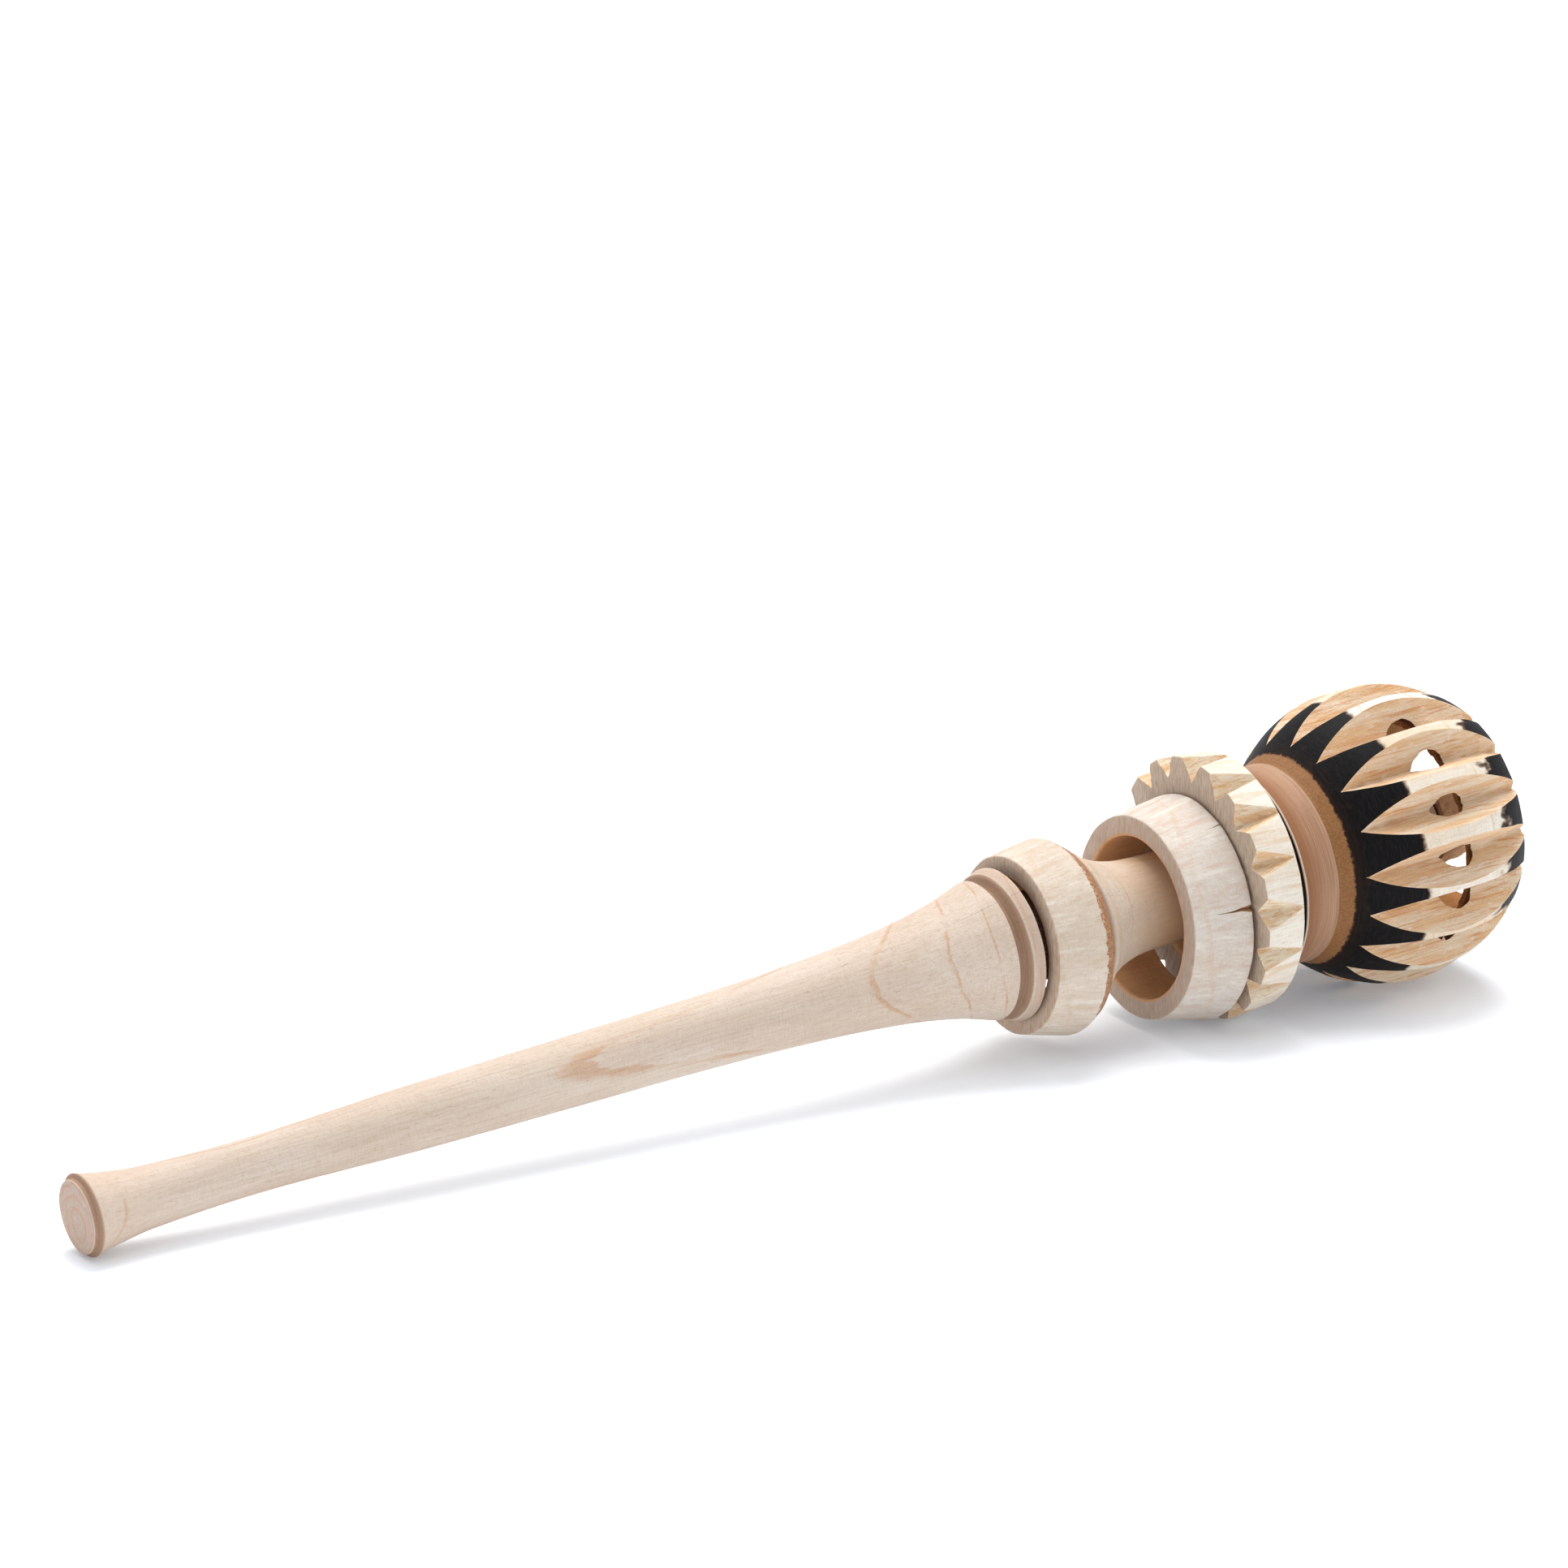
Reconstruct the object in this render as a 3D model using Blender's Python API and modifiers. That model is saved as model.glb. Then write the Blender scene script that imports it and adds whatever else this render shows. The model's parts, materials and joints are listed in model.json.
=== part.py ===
"""A molinillo: a wooden chocolate whisk turned and carved from one stick, lying on a table.

The stick is one piece, from its flared butt to its hollow fluted head. Three rings were cut free
around its neck while it was on the lathe, so they can't come off and rattle between two shoulders.
Lengths are in metres. Every piece is drawn about the stick's own axis: local +Z runs from the butt
to the head, and local -X points up once the empty lying_axis has laid the stick down.
"""
from math import acos, asin, cos, degrees, pi, radians, sin, tan

import bpy
from mathutils import Vector

MM = 0.001
TURNING_STEPS = 51                  # sides of every turned surface

# the stick: stations along the axis, measured from the butt's rim
BUTT_RADIUS = 8.45 * MM
BOSS_RADIUS = 7.5 * MM              # low disc left on the butt's end by the lathe
BOSS_HEIGHT = 1.4 * MM
LIP_AT, LIP_RADIUS = 207.7 * MM, 14.8 * MM
DISC_AT, DISC_RADIUS = 213.0 * MM, 16.3 * MM
SEAT_RADIUS = 9.6 * MM              # inside the narrow ring
BEAD_AT, BEAD_RADIUS = 230.9 * MM, 15.5 * MM        # shoulder that stops the narrow ring
NECK_RADIUS = 9.75 * MM
COLLAR_AT, COLLAR_RADIUS = 273.9 * MM, 23.3 * MM

# the head: a ball, cut off square at its open end
HEAD_AT, HEAD_RADIUS = 308.8 * MM, 32.0 * MM
END_AT = 330.0 * MM
MOUTH_RADIUS = 19.0 * MM
CORE_RADIUS = 9.3 * MM              # post left for the lathe's centre
CORE_END_AT = 328.2 * MM
GROOVE_AT, GROOVE_RADIUS = 310.6 * MM, 23.8 * MM    # undercut that opens the flutes' floors
GROOVE_SIZE = 4.5 * MM

# the carving: V cuts, all made with the same tool
FLUTES = 17
FLUTE_PHASE = radians(2.9)          # first flute, from the top towards +Y
VEE_HALF_ANGLE = radians(37.5)
FLUTE_FLOOR = [                     # (station, radius): a flat stroke that dips at the end
    (283.0 * MM, 24.6 * MM), (300.0 * MM, 25.0 * MM), (310.0 * MM, 25.1 * MM),
    (317.0 * MM, 24.9 * MM), (324.0 * MM, 24.0 * MM), (334.0 * MM, 21.1 * MM),
]

# the loose rings: left face, width, outer radii left and right, bore, and the right edge's bevel
NARROW = dict(at=214.6 * MM, width=13.4 * MM, left=18.9 * MM, right=20.8 * MM, bore=14.4 * MM,
              bevel=(2.8 * MM, 1.8 * MM))
WIDE = dict(at=246.2 * MM, width=13.4 * MM, left=21.8 * MM, right=24.1 * MM, bore=17.3 * MM,
            bevel=(0.5 * MM, 0.5 * MM))
TOOTHED = dict(at=261.4 * MM, width=9.5 * MM, left=28.3 * MM, right=27.6 * MM, bore=17.2 * MM,
               bevel=(0.5 * MM, 0.5 * MM))
NARROW_DROP = 0.7 * MM              # hangs from the bead's flank
WIDE_DROP = 2.8 * MM                # stands on the table
TOOTHED_DROP = 0.1 * MM
TOOTHED_LEAN = (radians(1.5), radians(-1.5))    # top towards the head, near side towards the handle
NOTCH_DEPTH = 4.7 * MM              # at the toothed ring's left face
NOTCH_RUN_OUT = 0.5 * MM            # depth left at its right face

# the stick lies on its butt rim and on its head; the narrow and the wide ring stay plumb
LIE_ANGLE = asin((HEAD_RADIUS - BUTT_RADIUS) / HEAD_AT)


def clear_scene():
    for thing in list(bpy.data.objects):
        bpy.data.objects.remove(thing, do_unlink=True)


def new_collection(name):
    group = bpy.data.collections.new(name)
    bpy.context.scene.collection.children.link(group)
    return group


def wood(name, colour, roughness):
    material = bpy.data.materials.new(name)
    material.use_nodes = True
    shader = material.node_tree.nodes["Principled BSDF"]
    shader.inputs["Base Color"].default_value = (*colour, 1.0)
    shader.inputs["Roughness"].default_value = roughness
    shader.inputs["Metallic"].default_value = 0.0
    return material


def smooth_curve(knots, steps):
    """Points on a cubic that passes through (station, radius) knots, the given steps per span."""
    points = []
    for i in range(len(knots) - 1):
        before = knots[max(i - 1, 0)]
        start, end = knots[i], knots[i + 1]
        after = knots[min(i + 2, len(knots) - 1)]
        span = end[0] - start[0]
        slope_in = (end[1] - before[1]) / (end[0] - before[0])
        slope_out = (after[1] - start[1]) / (after[0] - start[0])
        for k in range(steps):
            t = k / steps
            radius = ((2 * t ** 3 - 3 * t ** 2 + 1) * start[1] + (t ** 3 - 2 * t ** 2 + t) * span * slope_in
                      + (3 * t ** 2 - 2 * t ** 3) * end[1] + (t ** 3 - t ** 2) * span * slope_out)
            points.append((start[0] + span * t, radius))
    return points + [knots[-1]]


def arc(centre, radii, start, end, steps):
    """(station, radius) points on an ellipse about centre; the angle starts at +station."""
    return [(centre[0] + radii[0] * cos(radians(start + (end - start) * k / steps)),
             centre[1] + radii[1] * sin(radians(start + (end - start) * k / steps)))
            for k in range(steps + 1)]


def turned(name, profile, group, parent, closed=False):
    """A solid of revolution about local Z. The profile runs from the head's side to the butt's."""
    mesh = bpy.data.meshes.new(name)
    edges = [(i, i + 1) for i in range(len(profile) - 1)]
    if closed:
        edges.append((len(profile) - 1, 0))
    mesh.from_pydata([(radius, 0.0, station) for station, radius in profile], edges, [])
    piece = bpy.data.objects.new(name, mesh)
    group.objects.link(piece)
    piece.parent = parent
    screw = piece.modifiers.new("turning", "SCREW")
    screw.axis = "Z"
    screw.steps = screw.render_steps = TURNING_STEPS
    screw.use_merge_vertices = True
    screw.merge_threshold = 0.00002
    screw.use_smooth_shade = True
    return piece


def stick_profile():
    """The stick's outline, from the bottom of the head's hollow, out of it, and down to the butt."""
    hollow = (
        [(CORE_END_AT, 0.0), (CORE_END_AT, CORE_RADIUS - 1.2 * MM),
         (CORE_END_AT - 0.8 * MM, CORE_RADIUS - 0.4 * MM), (302.5 * MM, CORE_RADIUS)]
        + arc((302.5 * MM, CORE_RADIUS + 3.0 * MM), (3.0 * MM, 3.0 * MM), 270, 180, 2)[1:]
        + [(300.6 * MM, 17.0 * MM), (303.6 * MM, 21.4 * MM)]
        + arc((GROOVE_AT, GROOVE_RADIUS), (GROOVE_SIZE, GROOVE_SIZE), 190, -10, 8)
        + [(END_AT, MOUTH_RADIUS)]
    )
    end_angle = degrees(acos((END_AT - HEAD_AT) / HEAD_RADIUS))
    collar_angle = degrees(acos((286.4 * MM - HEAD_AT) / HEAD_RADIUS))
    head = arc((HEAD_AT, 0.0), (HEAD_RADIUS, HEAD_RADIUS), end_angle, collar_angle, 10)
    collar = [
        (283.4 * MM, 21.4 * MM), (282.9 * MM, 21.7 * MM), (280.0 * MM, 21.2 * MM),
        (276.5 * MM, 21.9 * MM), (COLLAR_AT, COLLAR_RADIUS), (273.4 * MM, 22.6 * MM),
        (273.4 * MM, 12.2 * MM), (271.6 * MM, NECK_RADIUS),
    ]
    neck = smooth_curve([
        (226.0 * MM, SEAT_RADIUS), (227.8 * MM, 10.4 * MM), (229.1 * MM, 12.1 * MM), (BEAD_AT, BEAD_RADIUS),
        (233.4 * MM, 13.9 * MM), (238.0 * MM, 11.6 * MM), (244.0 * MM, 10.15 * MM), (254.0 * MM, NECK_RADIUS),
    ], 2)[::-1]
    seat = [(214.4 * MM, SEAT_RADIUS), (213.5 * MM, SEAT_RADIUS + 0.8 * MM), (213.1 * MM, 16.1 * MM)]
    disc = [(DISC_AT, DISC_RADIUS), (211.6 * MM, 15.9 * MM), (210.3 * MM, 15.2 * MM),
            (209.5 * MM, 13.9 * MM), (208.7 * MM, 13.4 * MM), (208.1 * MM, 13.9 * MM)]
    handle = smooth_curve([
        (0.5 * MM, 8.3 * MM), (5.0 * MM, 7.35 * MM), (14.0 * MM, 6.2 * MM), (38.0 * MM, 5.6 * MM),
        (75.0 * MM, 6.6 * MM), (115.0 * MM, 7.15 * MM), (150.0 * MM, 7.75 * MM), (170.0 * MM, 8.75 * MM),
        (187.0 * MM, 10.3 * MM), (199.0 * MM, 12.35 * MM), (LIP_AT, LIP_RADIUS),
    ], 2)[::-1]
    butt = [(0.0, BUTT_RADIUS), (-0.1 * MM, BOSS_RADIUS + 0.2 * MM), (-BOSS_HEIGHT, BOSS_RADIUS),
            (-BOSS_HEIGHT, 0.0)]
    return hollow + head + collar + neck + seat + disc + handle + butt


def ring_profile(ring, edge=0.5 * MM):
    """A ring's section, in its own frame: left face at 0, corners eased."""
    width, bore, left, right = ring["width"], ring["bore"], ring["left"], ring["right"]
    bevel_length, bevel_drop = ring["bevel"]
    return [
        (width, bore + edge), (width, right - bevel_drop), (width - bevel_length, right),
        (edge, left), (0.0, left - edge), (0.0, bore + edge), (edge, bore), (width - edge, bore),
    ]


def vee_cutter(name, floor, azimuth, group, parent):
    """A wedge whose sharp edge follows the (station, radius) floor of a V cut."""
    height = 14 * MM
    half_width = height * tan(VEE_HALF_ANGLE)
    sections = [[(radius, 0.0, station), (radius + height, half_width, station),
                 (radius + height, -half_width, station)] for station, radius in floor]
    corners = [corner for section in sections for corner in section]
    last = len(corners) - 3
    faces = [(0, 1, 2), (last, last + 2, last + 1)]
    for i in range(0, last, 3):
        faces += [(i + a, i + a + 3, i + b + 3, i + b) for a, b in ((0, 1), (1, 2), (2, 0))]
    mesh = bpy.data.meshes.new(name)
    mesh.from_pydata(corners, [], faces)
    cutter = bpy.data.objects.new(name, mesh)
    group.objects.link(cutter)
    cutter.parent = parent
    cutter.rotation_euler = (0.0, 0.0, azimuth)
    cutter.hide_render = True
    cutter.display_type = "WIRE"
    return cutter


def cut(piece, cutter):
    boolean = piece.modifiers.new(cutter.name, "BOOLEAN")
    boolean.operation = "DIFFERENCE"
    boolean.solver = "EXACT"
    boolean.object = cutter


def azimuth_of(from_top):
    """Local angle about Z of a direction given from the top towards +Y."""
    return pi - from_top


def build_stick(parts, cutters, axis):
    stick = turned("whisk_body", stick_profile(), parts, axis)
    for k in range(FLUTES):
        cutter = vee_cutter(f"flute_cut_{k + 1:02d}", FLUTE_FLOOR,
                            azimuth_of(FLUTE_PHASE + 2 * pi * k / FLUTES), cutters, axis)
        cut(stick, cutter)
    stick.data.materials.append(wood("stick_wood", (0.69, 0.55, 0.43), 0.62))
    return stick


def ring_frame(name, ring, drop, lean, axis):
    """An empty on a ring's own axis, at the middle of its left face."""
    frame = bpy.data.objects.new(name, None)
    bpy.context.scene.collection.objects.link(frame)
    frame.empty_display_size = 0.02
    frame.parent = axis
    frame.location = (drop, 0.0, ring["at"])
    frame.rotation_euler = (-lean[1], lean[0], 0.0)
    return frame


def build_rings(parts, cutters, axis):
    plumb = (LIE_ANGLE, 0.0)
    frames = {
        "narrow_ring": ring_frame("narrow_ring_axis", NARROW, NARROW_DROP, plumb, axis),
        "wide_ring": ring_frame("wide_ring_axis", WIDE, WIDE_DROP, plumb, axis),
        "toothed_ring": ring_frame("toothed_ring_axis", TOOTHED, TOOTHED_DROP, TOOTHED_LEAN, axis),
    }
    colours = {"narrow_ring": (0.71, 0.59, 0.46), "wide_ring": (0.68, 0.58, 0.48),
               "toothed_ring": (0.72, 0.59, 0.44)}
    rings = {}
    for name, ring in (("narrow_ring", NARROW), ("wide_ring", WIDE), ("toothed_ring", TOOTHED)):
        rings[name] = turned(name, ring_profile(ring), parts, frames[name], closed=True)
        rings[name].data.materials.append(wood(f"{name}_wood", colours[name], 0.66))
    width = TOOTHED["width"]
    slope = (NOTCH_DEPTH - NOTCH_RUN_OUT + TOOTHED["right"] - TOOTHED["left"]) / width
    floor = [(station, TOOTHED["left"] - NOTCH_DEPTH + slope * station)
             for station in (-3 * MM, width + 3 * MM)]
    for k in range(FLUTES):
        cutter = vee_cutter(f"notch_cut_{k + 1:02d}", floor, azimuth_of(2 * pi * k / FLUTES), cutters,
                            frames["toothed_ring"])
        cut(rings["toothed_ring"], cutter)


def set_down(parts, axis):
    """Lay the lowest point on z = 0 and put the middle of the box over the origin."""
    bpy.context.view_layer.update()
    graph = bpy.context.evaluated_depsgraph_get()
    corners = [piece.evaluated_get(graph).matrix_world @ vertex.co
               for piece in parts.objects for vertex in piece.evaluated_get(graph).data.vertices]
    low = Vector([min(c[i] for c in corners) for i in range(3)])
    high = Vector([max(c[i] for c in corners) for i in range(3)])
    axis.location -= Vector(((low.x + high.x) / 2, (low.y + high.y) / 2, low.z))


def main():
    clear_scene()
    parts = new_collection("molinillo")
    cutters = new_collection("cutters")
    axis = bpy.data.objects.new("lying_axis", None)
    bpy.context.scene.collection.objects.link(axis)
    axis.rotation_euler = (0.0, pi / 2 - LIE_ANGLE, 0.0)
    build_stick(parts, cutters, axis)
    build_rings(parts, cutters, axis)
    set_down(parts, axis)


main()
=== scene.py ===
"""Looks of the molinillo, a wooden chocolate whisk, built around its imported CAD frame.

Each wooden piece is drawn in its own frame: local +Z runs along the piece's axis, from the butt towards
the head, and local -X points up. Outlines are lists of (station, radius), in millimetres along the stick
from the butt's rim, and meshes are in metres.
"""
import json
from math import acos, cos, degrees, pi, radians, sin, tan

import bmesh
import bpy
import numpy as np
from mathutils import Matrix, Vector

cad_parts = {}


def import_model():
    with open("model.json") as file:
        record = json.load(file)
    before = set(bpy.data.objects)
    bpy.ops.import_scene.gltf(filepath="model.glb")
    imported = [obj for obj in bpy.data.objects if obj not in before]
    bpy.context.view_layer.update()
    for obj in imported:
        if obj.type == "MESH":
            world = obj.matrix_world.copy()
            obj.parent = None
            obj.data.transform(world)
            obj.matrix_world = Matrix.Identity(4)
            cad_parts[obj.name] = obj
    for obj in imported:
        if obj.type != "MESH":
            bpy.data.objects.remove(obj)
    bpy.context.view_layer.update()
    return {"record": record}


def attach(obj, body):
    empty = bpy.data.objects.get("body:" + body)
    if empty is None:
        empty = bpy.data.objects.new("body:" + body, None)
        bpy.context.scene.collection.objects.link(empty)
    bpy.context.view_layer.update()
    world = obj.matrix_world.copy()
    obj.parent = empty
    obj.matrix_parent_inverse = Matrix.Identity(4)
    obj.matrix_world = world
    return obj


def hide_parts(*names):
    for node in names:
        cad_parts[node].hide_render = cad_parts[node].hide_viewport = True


MM = 0.001

# the stick, as in the CAD model
BUTT_RADIUS, BOSS_RADIUS, BOSS_HEIGHT = 8.45, 7.5, 1.4
SEAT_RADIUS, NECK_RADIUS = 9.6, 9.75
COLLAR_AT, BEVEL_AT, COLLAR_END = 273.4, 283.15, 286.4      # the ball starts at the last
HEAD_AT, HEAD_RADIUS, END_AT = 308.8, 32.0, 330.0
MOUTH_RADIUS, CORE_RADIUS, CORE_END = 19.0, 9.3, 328.2
CORE_LINE = 319.0                   # a line scored around the post; rough beyond it
GROOVE_AT, GROOVE_RADIUS, GROOVE_SIZE = 310.6, 23.8, 4.5    # inside the head, behind the windows

# where the stick's colour changes, from station to station
COVE_COLOUR, DISC_COLOUR = (207.75, 210.6), (210.9, 212.75)
SEAT_COLOUR, NECK_COLOUR = (213.0, 226.2), (226.5, 273.0)
COLLAR_FACE_COLOUR, COLLAR_COVE_COLOUR = (272.6, 273.75), (274.3, 283.2)
TONGUES_START, TONGUES_END = (286.15, 286.7), (299.2, 300.0)
RIM_SCORCHED, RIM_BURNT = (319.2, 321.8), (320.6, 323.0)

# the carving; the toothed ring has as many notches as the head has flutes
FLUTES = 17
VEE_HALF_ANGLE = radians(37.5)
FLUTE_FLOOR = [(283.0, 24.6), (300.0, 25.0), (310.0, 25.1), (317.0, 24.9), (324.0, 24.0), (334.0, 21.1)]
FLUTES_SEEN = [24.5, 2.9, -18.8, -40.0, -61.9, -84.4, -104.6, -124.8, -145.4]     # degrees from the top
FLUTE_STARTS = [0.0, 0.0, 0.0, 0.2, 0.3, 0.0, 0.6, 0.4, 0.9]   # how much shallower each one starts

# the loose rings: bevel is the length and drop of the right outer edge
NARROW = dict(width=13.4, left=18.9, right=20.8, bore=14.4, bevel=(2.8, 1.8))
WIDE = dict(width=13.4, left=21.8, right=24.1, bore=17.3, bevel=(0.5, 0.5))
TOOTHED = dict(width=9.5, left=28.3, right=27.6, bore=17.2, bevel=(0.5, 0.5))
WIDE_AT, WIDE_DROP = 246.2, 2.8     # its left face, and how far its centre lies below the stick's axis
NOTCH_DEPTH, NOTCH_RUN_OUT = 4.7, 0.5                              # at its left and right face
WIDE_CRACKS = [(-74.3, 8.3, 2.7, 1.6), (-28.0, 3.4, 0.9, 0.8)]     # from the top, length, width, depth
CRACK_CLEARANCE = 0.6               # how far a crack's cutter stands proud of the ring

# the wood's growth: where its rings are centred and how far apart they lie
PITH = Vector((0.6, 1.3))
RING_SPACING = 2.15

# the camera, in metres from the middle of the butt's rim; degrees from +X and below the horizon
CAMERA_FROM_BUTT = Vector((-0.5785, -1.1866, 0.5139))
CAMERA_HEADING, CAMERA_DIP = 58.13, 17.99
CAMERA_LENS, SENSOR = 167.7, 36.0


# ---------------------------------------------------------------- outlines

def smooth_curve(knots, steps):
    """Points on a cubic that passes through (station, radius) knots, the given steps per span."""
    points = []
    for i in range(len(knots) - 1):
        before = knots[max(i - 1, 0)]
        start, end = knots[i], knots[i + 1]
        after = knots[min(i + 2, len(knots) - 1)]
        span = end[0] - start[0]
        slope_in = (end[1] - before[1]) / (end[0] - before[0])
        slope_out = (after[1] - start[1]) / (after[0] - start[0])
        for k in range(steps):
            t = k / steps
            radius = ((2 * t ** 3 - 3 * t ** 2 + 1) * start[1] + (t ** 3 - 2 * t ** 2 + t) * span * slope_in
                      + (3 * t ** 2 - 2 * t ** 3) * end[1] + (t ** 3 - t ** 2) * span * slope_out)
            points.append((start[0] + span * t, radius))
    return points + [knots[-1]]


def arc(centre, radii, start, end, steps):
    """(station, radius) points on an ellipse about centre; the angle starts at +station."""
    angles = np.radians(np.linspace(start, end, steps + 1))
    return [(centre[0] + radii[0] * cos(a), centre[1] + radii[1] * sin(a)) for a in angles]


def divided(points, longest):
    """The same outline with no stretch longer than the given length."""
    result = [points[0]]
    for start, end in zip(points, points[1:]):
        pieces = max(1, int(np.ceil(np.hypot(end[0] - start[0], end[1] - start[1]) / longest)))
        run, rise = end[0] - start[0], end[1] - start[1]
        result += [(start[0] + run * k / pieces, start[1] + rise * k / pieces) for k in range(1, pieces + 1)]
    return result


def stick_outline():
    """The stick's outside, from the middle of the butt to the middle of the head's open end."""
    butt = [(-BOSS_HEIGHT, 0.0), (-BOSS_HEIGHT, BOSS_RADIUS - 0.5),
            (-BOSS_HEIGHT + 0.15, BOSS_RADIUS - 0.12), (-BOSS_HEIGHT + 0.5, BOSS_RADIUS),
            (-0.25, BOSS_RADIUS + 0.05), (-0.1, BOSS_RADIUS + 0.2), (-0.02, BUTT_RADIUS - 0.3),
            (0.12, BUTT_RADIUS - 0.06), (0.3, BUTT_RADIUS - 0.04)]
    handle = smooth_curve([
        (0.5, 8.3), (5.0, 7.35), (14.0, 6.2), (38.0, 5.6), (75.0, 6.6), (115.0, 7.15), (150.0, 7.75),
        (170.0, 8.75), (187.0, 10.3), (199.0, 12.35), (207.4, 14.75),
    ], 12)
    lip = [(207.6, 14.78), (207.72, 14.66)]
    cove = smooth_curve([(208.1, 13.9), (208.7, 13.4), (209.5, 13.9), (210.3, 15.2), (211.6, 15.9),
                         (212.8, 16.28)], 5)
    seat = [(212.98, 16.25), (213.1, 16.1), (213.5, 10.4), (214.4, SEAT_RADIUS), (225.0, SEAT_RADIUS)]
    neck = smooth_curve([
        (226.0, SEAT_RADIUS), (227.8, 10.4), (229.1, 12.1), (230.9, 15.5), (233.4, 13.9), (238.0, 11.6),
        (244.0, 10.15), (254.0, NECK_RADIUS), (266.0, NECK_RADIUS), (271.6, NECK_RADIUS)], 7)
    collar = [(COLLAR_AT, 12.2), (COLLAR_AT, 22.6), (273.6, 23.1), (273.9, 23.3), (274.2, 23.2)]
    cove_face = smooth_curve([(274.5, 22.95), (276.5, 21.9), (280.0, 21.2), (282.9, 21.65)], 6)
    step = [(BEVEL_AT, 21.6), (283.5, 21.35), (283.9, 21.4)]
    ball_start = degrees(acos((COLLAR_END - HEAD_AT) / HEAD_RADIUS))
    ball_end = degrees(acos((END_AT - 0.5 - HEAD_AT) / HEAD_RADIUS))
    ball = arc((HEAD_AT, 0.0), (HEAD_RADIUS, HEAD_RADIUS), ball_start, ball_end, 110)
    rim_radius = HEAD_RADIUS * sin(acos((END_AT - HEAD_AT) / HEAD_RADIUS))
    rim = [(END_AT - 0.15, rim_radius), (END_AT, rim_radius - 0.35)]
    inward = [(END_AT, MOUTH_RADIUS + 2.0), (END_AT, MOUTH_RADIUS - 3.0), (END_AT, 0.0)]
    return (divided(butt + handle, 1.4) + lip + divided(cove + seat, 0.8) + divided(neck, 0.9)
            + divided(collar + cove_face + step + ball[:1], 0.5) + ball[1:] + rim + inward)


def hollow_outline():
    """The space inside the head, from the post's end, down to the floor, and out of the mouth."""
    return divided(
        [(CORE_END, 0.0), (CORE_END, CORE_RADIUS - 1.2), (CORE_END - 0.8, CORE_RADIUS + 0.2),
         (CORE_LINE + 0.8, CORE_RADIUS + 0.7), (CORE_LINE + 0.3, CORE_RADIUS - 0.7),
         (CORE_LINE - 0.3, CORE_RADIUS - 0.7), (CORE_LINE - 0.6, CORE_RADIUS + 0.25),
         (302.5, CORE_RADIUS + 0.25)]
        + arc((302.5, CORE_RADIUS + 3.0), (3.0, 2.75), 270, 180, 4)[1:]
        + [(300.6, 17.0), (303.6, 21.4)]
        + arc((GROOVE_AT, GROOVE_RADIUS), (GROOVE_SIZE, GROOVE_SIZE), 190, -10, 16)
        + [(END_AT, MOUTH_RADIUS), (END_AT + 3.0, MOUTH_RADIUS + 0.5), (END_AT + 3.0, 0.0)], 0.8)


def ring_outline(ring, edge=0.5):
    """A ring's section, in its own frame: left face at 0, corners rounded, right edge bevelled."""
    width, bore, left, right = ring["width"], ring["bore"], ring["left"], ring["right"]
    bevel_length, bevel_drop = ring["bevel"]

    def rounded(station, radius, along, out):
        turn = [radians(a) for a in (0, 30, 60, 90)]
        return [(station + along * edge * (1 - cos(a)), radius + out * edge * (1 - sin(a))) for a in turn]
    if bevel_length > edge:
        shoulder = [(width - bevel_length - 0.3, right), (width - bevel_length, right - 0.06),
                    (width - 0.15, right - bevel_drop + 0.1), (width, right - bevel_drop - 0.15)]
    else:
        shoulder = rounded(width, right, -1, -1)[::-1]
    inner = rounded(width, bore, -1, 1) + rounded(0.0, bore, 1, 1)[::-1]
    return divided(rounded(0.0, left, 1, -1) + shoulder + inner, 0.7)


# ---------------------------------------------------------------- meshes

def ripple(points, sizes, seed, waves=14):
    """Smooth seeded noise of about -1 to 1; sizes are its feature sizes along the three axes."""
    random = np.random.default_rng(seed)
    directions = random.normal(size=(waves, 3))
    directions /= np.linalg.norm(directions, axis=1)[:, None]
    pitch = 2 * pi * random.uniform(0.6, 1.5, waves)
    shift = random.uniform(0, 2 * pi, waves)
    swing = (points / np.array(sizes)) @ directions.T * pitch + shift
    return np.sin(swing).sum(axis=-1) / np.sqrt(waves)


class Cut:
    """One V cut along a turned surface: where it is centred, how open it is, and its floor."""

    def __init__(self, from_top, half_angle, floor):
        self.azimuth = (pi - radians(from_top)) % (2 * pi)
        self.half_angle = half_angle
        self.floor_stations = [station for station, _ in floor]
        self.floor_radii = [radius for _, radius in floor]

    def floor(self, stations):
        return np.interp(stations, self.floor_stations, self.floor_radii)

    def edge_angle(self, stations, radii):
        """Half the cut's angular width; below zero where the floor is above the surface."""
        ratio = np.clip(self.floor(stations) * sin(self.half_angle) / np.maximum(radii, 0.01), -1, 1)
        return self.half_angle - np.arcsin(ratio)

    def radius(self, stations, angles):
        """Distance of the V's faces from the axis, with a slightly rounded floor."""
        bent = np.sqrt(np.sin(angles) ** 2 + 0.004 ** 2)
        opening = np.cos(angles) - bent / tan(self.half_angle)
        return np.where(opening > 0.3, self.floor(stations) / np.maximum(opening, 0.3), 1e3)


ACROSS_CUT = np.array([-1, -.97, -.88, -.76, -.64, -.52, -.4, -.28, -.17, -.08, -.03,
                       .03, .08, .17, .28, .4, .52, .64, .76, .88, .97, 1])
ACROSS_LAND = np.array([.1, .35, .65, .9])
NARROWEST = radians(0.3)            # half the angle that a cut's columns keep where there is no cut
SHARP_FROM = radians(38)


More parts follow.
